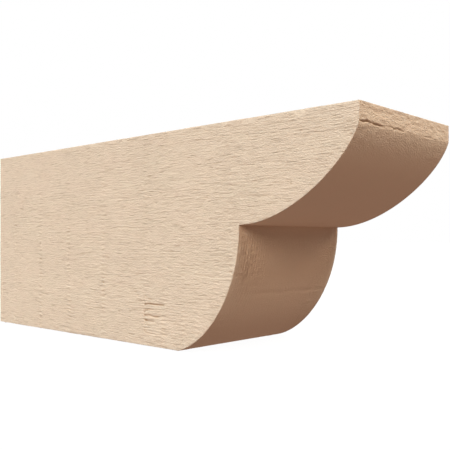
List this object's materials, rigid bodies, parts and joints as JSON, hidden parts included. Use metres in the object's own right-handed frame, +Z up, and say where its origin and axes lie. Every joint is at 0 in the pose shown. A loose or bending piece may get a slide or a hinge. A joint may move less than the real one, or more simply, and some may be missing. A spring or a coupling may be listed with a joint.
{
  "type": "rafter tail",
  "caption": "Rough-sawn beam end fixed under an eave as a rafter tail: flat nose, a convex round, a square step and a second convex round down to a flat underside.",
  "frame": {"origin": "middle of the square wall end, where the piece meets the wall or fascia", "axes": "+X from the wall end along the beam to the nose, +Y across the beam, +Z up to its flat top"},
  "size_m": [0.508, 0.1524, 0.2032],
  "materials": {
    "primed_foam": "matte"
  },
  "bodies": {
    "root": {"rafter_tail": "primed_foam"}
  },
  "joints": []
}
